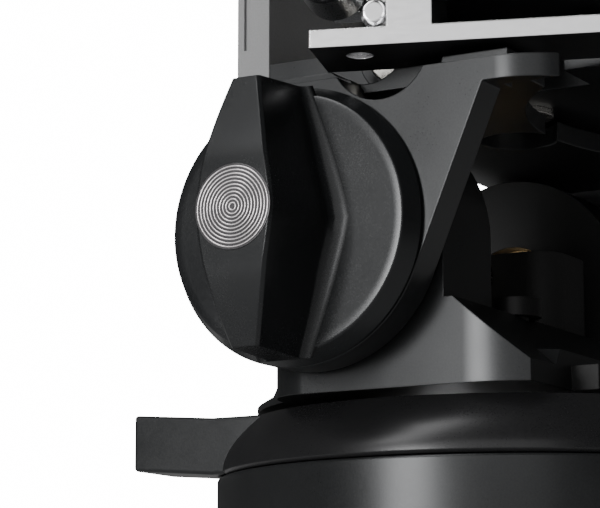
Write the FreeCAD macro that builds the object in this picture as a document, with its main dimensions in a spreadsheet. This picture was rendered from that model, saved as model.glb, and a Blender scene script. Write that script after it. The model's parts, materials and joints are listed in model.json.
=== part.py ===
import FreeCAD, Part
import Sketcher
import os

# Compact two-axis mount head. The pan axis is Z, the tilt axis runs along X, the front faces -Y,
# and the origin is the centre of the underside. Millimetres and degrees.

DRIVING = {
    # base
    "base_radius": 32.0, "base_height": 26.0, "edge_break": 0.8,
    "neck_radius": 24.0, "neck_height": 6.1, "drum_radius": 19.0, "drum_gap": 2.6,
    "cover_radius": 27.0, "cover_thickness": 3.0, "socket_bore": 4.0, "socket_radius": 8.0,
    "socket_length": 9.0, "spindle_radius": 6.0, "bush_wall": 3.0, "bush_length": 7.6,
    # pan lock
    "ring_height": 6.2, "ring_top_radius": 28.8, "lever_width": 8.0, "lever_face": 21.8,
    "lever_reach": 35.0, "lever_rise": 0.8,
    # pedestal
    "pedestal_floor": "=base_height + 7.2", "slope_foot": "=pedestal_floor + 1.8",
    "slope_head": "=pedestal_floor + 8.9", "flat_half_width": 28.5, "pedestal_front": 15.4,
    "pedestal_rear": 15.0, "front_corner": 14.0, "rear_corner": 5.3,
    "tower_inner": 17.4, "tower_radius": 14.0, "bearing_length": 9.0,
    # tilt axis and cradle
    "tilt_y": 7.3, "tilt_height": "=base_height + 23.6", "shaft_radius": 4.0, "stub_radius": 3.0,
    "arm_thickness": 4.2, "arm_top": "=tilt_height + 15.2", "lobe_radius": 14.4, "arm_front": 23.5,
    "arm_corner": 8.5, "rim_height": 2.4, "deck_thickness": 2.2, "arm_gap": 0.8,
    "scoop_radius": 5.6, "scoop_y": -2.2, "scoop_height": "=tilt_height + 17.9",
    # tilt knob
    "knob_radius": 14.46, "knob_face_radius": 13.35, "knob_thickness": 2.15,
    "rib_height": 10.3, "rib_half_length": 13.4, "rib_half_width": 4.45, "rib_end_half": 1.6,
    "emblem_radius": 4.3, "emblem_thickness": 0.8,
    # handle bracket and swivel housing
    "housing_half_width": 15.0, "housing_front": 19.0, "housing_rear": 21.8,
    "housing_top": "=tilt_height + 23.2", "bracket_thickness": 4.2,
    "bracket_top": "=tilt_height + 34.4", "handle_bore": 3.4,
    "boss_radius": 4.4, "boss_y": 2.0, "boss_height": "=tilt_height + 20.3", "boss_reach": 22.0,
    "pinch_radius": 3.2, "bolt_radius": 4.0,
    # clamp
    "clamp_y": -2.0, "clamp_turn": 18.0, "clamp_half_width": 34.0, "clamp_half_length": 17.0,
    "rail_depth": 10.0, "rail_floor": "=tilt_height + 17.4", "rail_height": 1.9,
    "plate_floor": "=tilt_height + 24.4", "plate_top": "=tilt_height + 29.4",
    "plate_half_length": 12.0, "channel_half_width": 19.0,
    "jaw_height": 7.0, "jaw_lip": 3.5, "jaw_travel": 6.0, "jaw_half_length": 14.0,
    "screw_radius": 1.6, "screw_along": 15.9, "screw_height": "=tilt_height + 25.8",
    "clamp_knob_radius": 3.3,
    "button_radius": 1.1, "button_along": 10.8, "button_height": "=tilt_height + 21.6",
    # clearances
    "fit_gap": 0.05, "free_gap": 0.35,
}

doc = FreeCAD.newDocument("tilt_head")
sheet = doc.addObject("Spreadsheet::Sheet", "dims")
for row, (alias, value) in enumerate(DRIVING.items(), start=1):
    sheet.set("A%d" % row, alias)
    sheet.set("B%d" % row, str(value))
    sheet.setAlias("B%d" % row, alias)
doc.recompute()

ALIASES = sorted(DRIVING, key=len, reverse=True)


def linked(rule):
    """Write each alias in a rule as a reference to the sheet."""
    words = []
    word = ""
    for letter in rule + " ":
        if letter.isalnum() or letter == "_":
            word += letter
        else:
            words.append("dims." + word if word in DRIVING else word)
            words.append(letter)
            word = ""
    return "".join(words).strip()


def size(rule):
    """Value of a rule in millimetres."""
    return float(sheet.evalExpression(linked(rule)))


def bind(thing, prop, rule):
    thing.setExpression(prop, linked(rule))


AXIS_TURN = {
    "z": FreeCAD.Rotation(),
    "x": FreeCAD.Rotation(FreeCAD.Vector(0, 1, 0), 90),
    "-x": FreeCAD.Rotation(FreeCAD.Vector(0, 1, 0), -90),
    "y": FreeCAD.Rotation(FreeCAD.Vector(1, 0, 0), -90),
}


def put(thing, at, axis="z"):
    """Place a thing at three rules, with its own Z along the named axis."""
    thing.Placement = FreeCAD.Placement(FreeCAD.Vector(), AXIS_TURN[axis])
    for letter, rule in zip("xyz", at):
        bind(thing, "Placement.Base." + letter, rule)
    return thing


def box(name, low, high):
    """Box between two corners."""
    part = doc.addObject("Part::Box", name)
    for prop, start, end in zip(("Length", "Width", "Height"), low, high):
        bind(part, prop, "(%s) - (%s)" % (end, start))
    return put(part, low)


def rod(name, radius, length, at, axis="z"):
    """Cylinder from a point along an axis."""
    part = doc.addObject("Part::Cylinder", name)
    bind(part, "Radius", radius)
    bind(part, "Height", length)
    return put(part, at, axis)


def joined(name, pieces):
    part = doc.addObject("Part::MultiFuse", name)
    part.Shapes = pieces
    part.Refine = True
    return part


def cut(name, base, tools):
    tool = tools[0]
    if len(tools) > 1:
        tool = doc.addObject("Part::MultiFuse", name + "_tools")
        tool.Shapes = tools
    part = doc.addObject("Part::Cut", name)
    part.Base = base
    part.Tool = tool
    part.Refine = True
    return part


def common(name, pieces):
    part = doc.addObject("Part::MultiCommon", name)
    part.Shapes = pieces
    return part


def outline(body, plane_role, points):
    """Closed sketch through points given as pairs of rules on one of the body's own planes."""
    sketch = body.newObject("Sketcher::SketchObject", body.Name + "_outline")
    planes = [item for item in body.Origin.OriginFeatures if item.Role == plane_role]
    sketch.AttachmentSupport = [(planes[0], "")]
    sketch.MapMode = "FlatFace"
    places = [FreeCAD.Vector(size(a), size(b), 0) for a, b in points]
    count = len(places)
    for index in range(count):
        sketch.addGeometry(Part.LineSegment(places[index], places[(index + 1) % count]), False)
    for index in range(count):
        sketch.addConstraint(Sketcher.Constraint("Coincident", index, 2, (index + 1) % count, 1))
    for index, rules in enumerate(points):
        for kind, axis, rule in zip(("DistanceX", "DistanceY"), (-2, -1), rules):
            value = size(rule)
            if abs(value) < 1e-9:
                sketch.addConstraint(Sketcher.Constraint("PointOnObject", index, 1, axis))
                continue
            label = "%s%d" % (kind[-1], index)
            if value > 0:
                limit = Sketcher.Constraint(kind, -1, 1, index, 1, value)
                signed = rule
            else:
                limit = Sketcher.Constraint(kind, index, 1, -1, 1, -value)
                signed = "-(%s)" % rule
            number = sketch.addConstraint(limit)
            sketch.renameConstraint(number, label)
            bind(sketch, "Constraints." + label, signed)
    return sketch


def turned(name, profile, at=("0", "0", "0"), axis="z"):
    """Turned piece: a closed profile of (radius, height) rules spun about its own Z."""
    body = doc.addObject("PartDesign::Body", name)
    sketch = outline(body, "XZ_Plane", profile)
    spin = body.newObject("PartDesign::Revolution", name + "_spin")
    spin.Profile = sketch
    spin.ReferenceAxis = (sketch, ["V_Axis"])
    spin.Angle = 360
    sketch.Visibility = False
    return put(body, at, axis)


def ring(name, inner, outer, low, high, at=("0", "0", "0"), axis="z"):
    """Plain turned ring, with a small break on its outer edges."""
    return turned(name, [(inner, low), (outer, low), (outer, high), (inner, high)], at, axis)


def plate(name, points, thickness, start):
    """Plate parallel to YZ: a padded outline of (y, z) rules, from x = start along +X."""
    body = doc.addObject("PartDesign::Body", name)
    sketch = outline(body, "YZ_Plane", points)
    pad = body.newObject("PartDesign::Pad", name + "_pad")
    pad.Profile = sketch
    bind(pad, "Length", thickness)
    return put(body, (start, "0", "0"))


PARTS = []


def keep(part, label):
    part.Label = label
    PARTS.append(part)
    return part


TILT_AT = ("0", "tilt_y", "tilt_height")
NECK_TOP = "base_height + neck_height"
RING_FLOOR = "base_height + 0.1"
RING_TOP = "base_height + 0.1 + ring_height"
BUSH_RADIUS = "spindle_radius + bush_wall"
BUSH_FLOOR = "cover_thickness + socket_length + 0.6"
DRUM_FLOOR = "base_height - 5"
BORE_RADIUS = "drum_radius + drum_gap"
ARM_INNER = "flat_half_width + arm_gap"
ARM_OUTER = "flat_half_width + arm_gap + arm_thickness"
DECK_FLOOR = "tilt_height + tower_radius + free_gap + 0.2"
DECK_TOP = "tilt_height + tower_radius + free_gap + 0.2 + deck_thickness"


def make_base():
    """Stationary base: housing, cover, tripod socket, bushing, brake band and fasteners."""
    housing = turned("housing_shell", [
        ("cover_radius", "0"), ("base_radius - edge_break", "0"), ("base_radius", "edge_break"),
        ("base_radius", "base_height - 0.2"), ("base_radius - 0.2", "base_height"),
        ("neck_radius", "base_height"), ("neck_radius", NECK_TOP),
        (BORE_RADIUS, NECK_TOP), (BORE_RADIUS, DRUM_FLOOR + " - 0.4"),
        (BUSH_RADIUS, DRUM_FLOOR + " - 0.4"), (BUSH_RADIUS, BUSH_FLOOR),
        ("socket_radius + 6", BUSH_FLOOR), ("socket_radius + 6", "cover_thickness"),
        ("cover_radius", "cover_thickness")])
    screw_holes = [
        rod("cover_tap_%d" % number, "1.55", "6",
            ("(cover_radius - 5) * cos(%d)" % angle, "(cover_radius - 5) * sin(%d)" % angle,
             "cover_thickness - 0.5"))
        for number, angle in enumerate((45, 135, 225, 315))]
    keep(cut("housing_cut", housing, screw_holes), "base_housing")
    cover = turned("cover_disc", [
        ("socket_radius - 2", "0"), ("cover_radius - fit_gap", "0"),
        ("cover_radius - fit_gap", "cover_thickness"), ("socket_radius", "cover_thickness"),
        ("socket_radius", "1.5"), ("socket_radius - 2", "1.5")])
    cover_holes = [
        turned("cover_hole_%d" % number, [
            ("0", "-1"), ("3.2", "-1"), ("3.2", "0.1"), ("1.6", "1.7"), ("1.6", "4"), ("0", "4")],
            ("(cover_radius - 5) * cos(%d)" % angle, "(cover_radius - 5) * sin(%d)" % angle, "0"))
        for number, angle in enumerate((45, 135, 225, 315))]
    keep(cut("cover_cut", cover, cover_holes), "base_cover")
    keep(turned("socket_body", [
        ("socket_bore", "0"), ("socket_radius - 2 - fit_gap", "0"),
        ("socket_radius - 2 - fit_gap", "1.5"), ("socket_radius - fit_gap", "1.5"),
        ("socket_radius - fit_gap", "cover_thickness + 0.8"), ("socket_radius - 1.2", "4.6"),
        ("socket_radius - 1.2", "socket_length - 1.2"), ("socket_bore", "socket_length - 1.2")]),
        "tripod_socket")
    screws = [
        turned("cover_screw_%d" % number, [
            ("0", "0.9"), ("1.2", "0.9"), ("1.2", "0.2"), ("2.9", "0.2"), ("1.5", "1.75"),
            ("1.5", "7"), ("0", "7")],
            ("(cover_radius - 5) * cos(%d)" % angle, "(cover_radius - 5) * sin(%d)" % angle, "0"))
        for number, angle in enumerate((45, 135, 225, 315))]
    keep(joined("cover_screw_set", screws), "base_cover_screws")
    keep(ring("pan_bush_body", "spindle_radius + fit_gap", BUSH_RADIUS, BUSH_FLOOR,
              BUSH_FLOOR + " + bush_length"), "pan_bushing")
    band = ring("band_ring", "drum_radius + free_gap", BORE_RADIUS + " - 0.1",
                DRUM_FLOOR + " + 1", NECK_TOP + " - 1")
    slit = box("band_slit", ("drum_radius - 2", "-1.5", DRUM_FLOOR),
               (BORE_RADIUS + " + 2", "1.5", NECK_TOP))
    keep(cut("band_cut", band, [slit]), "pan_brake_band")


def make_pan_lock():
    """Tapered lock ring with its lever, one machined piece, round the neck of the base."""
    hoop = turned("lock_hoop", [
        ("neck_radius + fit_gap", RING_FLOOR), ("base_radius - 0.3", RING_FLOOR),
        ("base_radius", RING_FLOOR + " + 0.4"), ("base_radius - 0.5", RING_FLOOR + " + 3.2"),
        ("ring_top_radius + 0.5", RING_TOP + " - 0.5"), ("ring_top_radius", RING_TOP),
        ("neck_radius + fit_gap", RING_TOP)])
    handle = plate("lever_bar", [
        ("14", RING_FLOOR), ("25", RING_FLOOR), ("lever_reach", RING_FLOOR + " + lever_rise"),
        ("lever_reach", RING_TOP + " + lever_rise"), ("25", RING_TOP), ("14", RING_TOP)],
        "lever_width", "-lever_face")
    bore = rod("lever_clear", "neck_radius + fit_gap", "ring_height + 2",
               ("0", "0", RING_FLOOR + " - 1"))
    trimmed = cut("lever_trim", handle, [bore])
    keep(joined("lock_ring_solid", [hoop, trimmed]), "pan_lock_ring")


def make_azimuth():
    """Turning pedestal with its drum, spindle, nut, washers, bearings and drag parts."""
    block = box("pedestal_box", ("-flat_half_width", "-pedestal_front", "pedestal_floor"),
                ("flat_half_width", "pedestal_rear", "slope_head"))
    corners = []
    for side, sign in (("left", "-"), ("right", "")):
        centre = "%s(flat_half_width - front_corner)" % sign
        corners.append(rod("corner_" + side, "front_corner", "12",
                           (centre, "-8.7", "pedestal_floor")))
        outer = "%s(flat_half_width - rear_corner)" % sign
        corners.append(rod("rear_corner_" + side, "rear_corner", "12",
                           (outer, "pedestal_rear - rear_corner", "pedestal_floor")))
    middle = box("pedestal_middle",
                 ("-(flat_half_width)", "-8.7", "pedestal_floor"),
                 ("flat_half_width", "pedestal_rear - rear_corner", "slope_head + 2"))
    front = box("pedestal_front_fill",
                ("-(flat_half_width - front_corner)", "-8.7 - front_corner", "pedestal_floor"),
                ("flat_half_width - front_corner", "0", "slope_head + 2"))
    rear = box("pedestal_rear_fill",
               ("-(flat_half_width - rear_corner)", "0", "pedestal_floor"),
               ("flat_half_width - rear_corner", "pedestal_rear", "slope_head + 2"))
    footprint = joined("pedestal_footprint", corners + [middle, front, rear])
    foot = common("pedestal_foot", [footprint, block])
    wedge = plate("slope_cutter", [
        ("-pedestal_front - 4", "slope_foot - 3"), ("-(tower_radius - tilt_y) - 0.9", "slope_head"),
        ("-(tower_radius - tilt_y) - 0.9", "slope_head + 8"),
        ("-pedestal_front - 4", "slope_head + 8")],
        "2 * flat_half_width + 4", "-flat_half_width - 2")
    flange = turned("pedestal_flange", [
        ("0", "pedestal_floor"), ("27.6", "pedestal_floor"), ("27.6", "pedestal_floor + 0.7"),
        ("26", "pedestal_floor + 1.7"), ("25", "pedestal_floor + 4"), ("0", "pedestal_floor + 4")])
    shaped_flange = cut("flange_front", flange, [
        box("flange_trim", ("-30", "-30", "pedestal_floor - 1"),
            ("30", "-pedestal_front", "slope_head"))])
    pad = box("index_pad", ("-17", "-pedestal_front - 3", "pedestal_floor"),
              ("17", "-pedestal_front + 1", "pedestal_floor + 2.6"))
    towers = []
    for side, start in (("left", "-flat_half_width"), ("right", "tower_inner")):
        width = "flat_half_width - tower_inner"
        cheek = rod("cheek_" + side, "tower_radius", width, (start, "tilt_y", "tilt_height"), "x")
        web = box("web_" + side, (start, "-(tower_radius - tilt_y)", "slope_head - 4"),
                  (start + " + " + width, "pedestal_rear", "tilt_height"))
        limit = box("limit_" + side, (start, "-(tower_radius - tilt_y)", "slope_head - 4"),
                    (start + " + " + width, "pedestal_rear", "tilt_height + tower_radius + 1"))
        towers.append(common("tower_" + side, [joined("tower_raw_" + side, [cheek, web]), limit]))
    solid = joined("pedestal_solid", [cut("sloped_foot", foot, [wedge]), shaped_flange, pad] + towers)
    shaft_hole = rod("pedestal_shaft_hole", "shaft_radius + 2", "2 * flat_half_width + 2",
                     ("-flat_half_width - 1", "tilt_y", "tilt_height"), "x")
    spindle_hole = rod("pedestal_spindle_hole", "spindle_radius", "slope_head",
                       ("0", "0", "pedestal_floor - 1"))
    screw_holes = [
        rod("drum_screw_hole_%d" % number, "1.7", "12",
            ("13 * cos(%d)" % angle, "13 * sin(%d)" % angle, "pedestal_floor - 1"))
        for number, angle in enumerate((150, 210))]
    keep(cut("pedestal_cut", solid, [shaft_hole, spindle_hole] + screw_holes), "pedestal")
    drum = turned("drum_body", [
        ("spindle_radius", DRUM_FLOOR), ("drum_radius", DRUM_FLOOR),
        ("drum_radius", "pedestal_floor"), ("spindle_radius", "pedestal_floor")])
    drum_taps = [
        rod("drum_tap_%d" % number, "1.5", "8",
            ("13 * cos(%d)" % angle, "13 * sin(%d)" % angle, "pedestal_floor - 7"))
        for number, angle in enumerate((150, 210))]
    keep(cut("drum_cut", drum, drum_taps), "pan_drum")
    screws = [
        turned("drum_screw_%d" % number, [
            ("0", "pedestal_floor - 6"), ("1.45", "pedestal_floor - 6"), ("1.45", "slope_head"),
            ("2.8", "slope_head"), ("2.8", "slope_head + 2"), ("1.2", "slope_head + 2"),
            ("1.2", "slope_head + 1"), ("0", "slope_head + 1")],
            ("13 * cos(%d)" % angle, "13 * sin(%d)" % angle, "0"))
        for number, angle in enumerate((150, 210))]
    keep(joined("drum_screw_set", screws), "drum_screws")
    keep(turned("spindle_body", [
        ("0", "socket_length - 0.8"), ("3", "socket_length - 0.8"),
        ("3", BUSH_FLOOR + " - 0.2"), ("spindle_radius", BUSH_FLOOR + " - 0.2"),
        ("spindle_radius", "slope_head - 1"), ("0", "slope_head - 1")]), "pan_spindle")
    nut = doc.addObject("Part::Prism", "nut_prism")
    nut.Polygon = 6
    bind(nut, "Circumradius", "6")
    bind(nut, "Height", "2.2")
    put(nut, ("0", "0", "socket_length - 0.6"))
    nut_bore = rod("nut_bore", "3", "6", ("0", "0", "socket_length - 2"))
    keep(cut("nut_cut", nut, [nut_bore]), "pan_nut")
    keep(turned("spring_washer_body", [
        ("3.1", "socket_length + 1.7"), ("9", "socket_length + 2.2"),
        ("9", "socket_length + 2.9"), ("3.1", "socket_length + 2.4")]), "pan_spring_washer")
    for side, axis in (("left", "-x"), ("right", "x")):
        keep(ring("bearing_" + side, "shaft_radius + fit_gap", "shaft_radius + 2",
                  "flat_half_width - bearing_length", "flat_half_width - 0.1", TILT_AT, axis),
             "tilt_bushing_" + side)
        keep(ring("washer_" + side, "shaft_radius + 0.3", "11", "flat_half_width",
                  "flat_half_width + arm_gap - 0.1", TILT_AT, axis), "tilt_friction_disc_" + side)
    column = box("drag_box", ("3", "-4.5", "slope_head"), ("14.5", "tilt_y + 7", "slope_head + 10"))
    rounding = doc.addObject("Part::Fillet", "drag_round")
    rounding.Base = column
    doc.recompute()
    upright = [number for number, edge in enumerate(column.Shape.Edges, start=1)
               if abs(edge.tangentAt(edge.FirstParameter).z) > 0.9]
    rounding.Edges = [(number, 3.5, 3.5) for number in upright]
    drag_hole = rod("drag_hole", "shaft_radius + free_gap", "30", ("0", "tilt_y", "tilt_height"), "x")
    keep(cut("drag_cut", rounding, [drag_hole]), "drag_cartridge")


def make_altitude():
    """Tilting cradle: two arms and a deck in one piece, with the shaft through both arms."""
    arms = []
    slope = "(arm_top - rim_height - tilt_height + 0.388 * lobe_radius) / 2.375"
    foot_y = "tilt_y - 0.9216 * lobe_radius"
    head_y = foot_y + " - " + slope
    rim_floor = "arm_top - rim_height"
    for side, start in (("left", "-(%s)" % ARM_OUTER), ("right", ARM_INNER)):
        web = plate("arm_web_" + side, [
            ("tilt_y", "tilt_height"), (foot_y, "tilt_height - 0.388 * lobe_radius"),
            (head_y, rim_floor), ("-arm_front", rim_floor), ("-arm_front", "arm_top"),
            ("tilt_y + 5.2", "arm_top"), ("tilt_y + 0.92 * lobe_radius", "tilt_height + 5.6")],
            "arm_thickness", start)
        lobe = rod("arm_lobe_" + side, "lobe_radius", "arm_thickness",
                   (start, "tilt_y", "tilt_height"), "x")
        arms += [web, lobe]
    frame = joined("arm_pair", arms)
    horns = []
    for side, sign, low in (("left", "-", "-(%s)" % ARM_OUTER), ("right", "", "0")):
        centre_x = "%s(%s - arm_corner)" % (sign, ARM_OUTER)
        disc = rod("horn_disc_" + side, "arm_corner", "rim_height",
                   (centre_x, "-arm_front + arm_corner", rim_floor))
        core = rod("horn_core_" + side, "arm_corner - arm_thickness", "rim_height + 2",
                   (centre_x, "-arm_front + arm_corner", rim_floor + " - 1"))
        sector = box("horn_sector_" + side,
                     ("-(%s)" % ARM_OUTER if sign else "31", "-arm_front", rim_floor),
                     ("-31" if sign else ARM_OUTER, "-arm_front + arm_corner + 0.5", "arm_top"))
        horns.append(common("horn_" + side, [cut("horn_ring_" + side, disc, [core]), sector]))
    trims = []
    for side, low, high in (("left", "-(%s) - 1" % ARM_OUTER, "-(%s) + 8" % ARM_INNER),
                            ("right", ARM_INNER + " - 8", ARM_OUTER + " + 1")):
        trims.append(box("arm_trim_" + side, (low, "-arm_front - 1", rim_floor + " - 6"),
                         (high, "-arm_front + arm_corner", "arm_top + 1")))
    deck = box("deck_plate", ("-(%s) - 1" % ARM_INNER, "-arm_front + arm_corner", DECK_FLOOR),
               (ARM_INNER + " + 1", "tilt_y + 5", DECK_TOP))
    bay = rod("deck_bay", "30", "deck_thickness + 2", ("0", "-36", DECK_FLOOR + " - 1"))
    tongue = box("deck_tongue", ("-housing_half_width", "0", DECK_FLOOR),
                 ("housing_half_width", "housing_rear + bracket_thickness", DECK_TOP))
    shape = joined("cradle_solid", [cut("arm_trimmed", frame, trims)] + horns +
                   [cut("deck_cut", deck, [bay]), tongue])
    scoop = rod("arm_scoop", "scoop_radius", "arm_thickness + 2",
                ("-(%s) - 1" % ARM_OUTER, "scoop_y", "scoop_height"), "x")
    boss_room = rod("deck_boss_room", "boss_radius + free_gap", "2 * housing_half_width",
                    ("-(%s) - 1" % ARM_INNER, "boss_y", "boss_height"), "x")
    boss_end = box("boss_room_end", ("-(%s) - 2" % ARM_INNER, "-30", "0"),
                   ("-housing_half_width", "30", "bracket_top"))
    shaft_hole = rod("arm_shaft_hole", "shaft_radius", "2 * flat_half_width + 20",
                     ("-flat_half_width - 10", "tilt_y", "tilt_height"), "x")
    bolt_hole = rod("deck_bolt_hole", "bolt_radius + 0.3", "deck_thickness + 2",
                    ("0", "clamp_y", DECK_FLOOR + " - 1"))
    keep(cut("cradle_cut", shape, [
        scoop, common("boss_relief", [boss_room, boss_end]), shaft_hole, bolt_hole]), "cradle")
    shaft = turned("shaft_body", [
        ("0", "-(%s) + 0.4" % ARM_OUTER), ("shaft_radius", "-(%s) + 0.4" % ARM_OUTER),
        ("shaft_radius", ARM_OUTER), ("stub_radius", ARM_OUTER),
        ("stub_radius", ARM_OUTER + " + knob_thickness + 5"),
        ("0", ARM_OUTER + " + knob_thickness + 5")], TILT_AT, "-x")
    keep(shaft, "tilt_shaft")
    keep(turned("cap_body", [
        ("0", ARM_OUTER), ("11.5", ARM_OUTER), ("11.5", ARM_OUTER + " + 1"),
        ("10.5", ARM_OUTER + " + 2"), ("6", ARM_OUTER + " + 2.2"), ("0", ARM_OUTER + " + 2.2")],
        TILT_AT, "x"), "pivot_cap")


def make_housing():
    """Swivel housing and handle bracket on the deck, with the pinch screw and swivel bolt."""
    floor = DECK_TOP
    body = box("housing_box", ("-housing_half_width", "-housing_front", "rail_floor + 0.4"),
               ("housing_half_width", "housing_rear", "housing_top"))
    seat = box("housing_seat", ("-housing_half_width", "-0.5", floor),
               ("housing_half_width", "housing_rear", "rail_floor + 1"))
    pocket = box("housing_pocket", ("-housing_half_width - 1", "-14.3", "rail_floor - 1"),
                 ("-housing_half_width + 7", "-4", "housing_top + 1"))
    bore = rod("housing_bore", "bolt_radius + fit_gap", "20", ("0", "clamp_y", "60"))
    boss = rod("housing_boss", "boss_radius", "boss_reach - housing_half_width",
               ("-boss_reach", "boss_y", "boss_height"), "x")
    boss_bed = box("boss_limit", ("-boss_reach", "boss_y - 6", "60"),
                   ("0", "boss_y + 6", "housing_top"))
    pinch_hole = rod("pinch_hole", "pinch_radius + 0.02", "10",
                     ("-boss_reach - 1", "boss_y", "boss_height"), "x")
    keep(cut("housing_cut", joined("housing_solid", [
        body, seat, common("boss_trimmed", [boss, boss_bed])]), [pocket, bore, pinch_hole]),
        "swivel_housing")
    screw = rod("pinch_rod", "pinch_radius", "8", ("-boss_reach + 0.2", "boss_y", "boss_height"), "x")
    slot = box("pinch_slot", ("-boss_reach - 1", "boss_y - 5", "boss_height - 0.5"),
               ("-boss_reach + 1.4", "boss_y + 5", "boss_height + 0.5"))
    keep(cut("pinch_cut", screw, [slot]), "pinch_screw")
    upright = box("bracket_box", ("-housing_half_width", "housing_rear", floor),
                  ("housing_half_width", "housing_rear + bracket_thickness", "bracket_top"))
    boss_rear = rod("bracket_boss", "7", "bracket_thickness + 4",
                    ("0", "housing_rear", "bracket_top - 9"), "y")
    bore_rear = rod("handle_hole", "handle_bore", "30", ("0", "housing_rear - 2", "bracket_top - 9"),
                    "y")
    sides = [box("bracket_groove_" + side, (low, "housing_rear + bracket_thickness - 1.6",
                                            "housing_top + 2"),
                 (high, "housing_rear + bracket_thickness - 0.9", "bracket_top + 1"))
             for side, low, high in (("left", "-housing_half_width - 1", "-housing_half_width + 0.4"),
                                     ("right", "housing_half_width - 0.4",
                                      "housing_half_width + 1"))]
    taps = [rod("bracket_tap_%s" % side, "1.5", "20", (place, "housing_rear - 8", "housing_top - 3.2"),
                "y") for side, place in (("left", "-9"), ("right", "9"))]
    keep(cut("bracket_cut", joined("bracket_solid", [upright, boss_rear]),
             [bore_rear] + sides + taps), "handle_bracket")
    screws = [joined("bracket_screw_" + side, [
        rod("bracket_shank_" + side, "1.48", "bracket_thickness - 0.4",
            (place, "housing_rear + 0.4", "housing_top - 3.2"), "y"),
        rod("bracket_head_" + side, "2.7", "1.8",
            (place, "housing_rear + bracket_thickness", "housing_top - 3.2"), "y")])
        for side, place in (("left", "-9"), ("right", "9"))]
    keep(joined("bracket_screw_set", screws), "bracket_screws")


def turned_clamp(part, along="0"):
    """Turn a clamp piece about the swivel axis, from clamp coordinates; along is its own Y."""
    turn = FreeCAD.Rotation(FreeCAD.Vector(0, 0, 1), size("clamp_turn"))
    part.Placement = FreeCAD.Placement(part.Placement.Base, turn.multiply(part.Placement.Rotation))
    bind(part, "Placement.Base.x", "-(%s) * sin(clamp_turn)" % along)
    bind(part, "Placement.Base.y", "clamp_y + (%s) * cos(clamp_turn)" % along)
    return part


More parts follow.
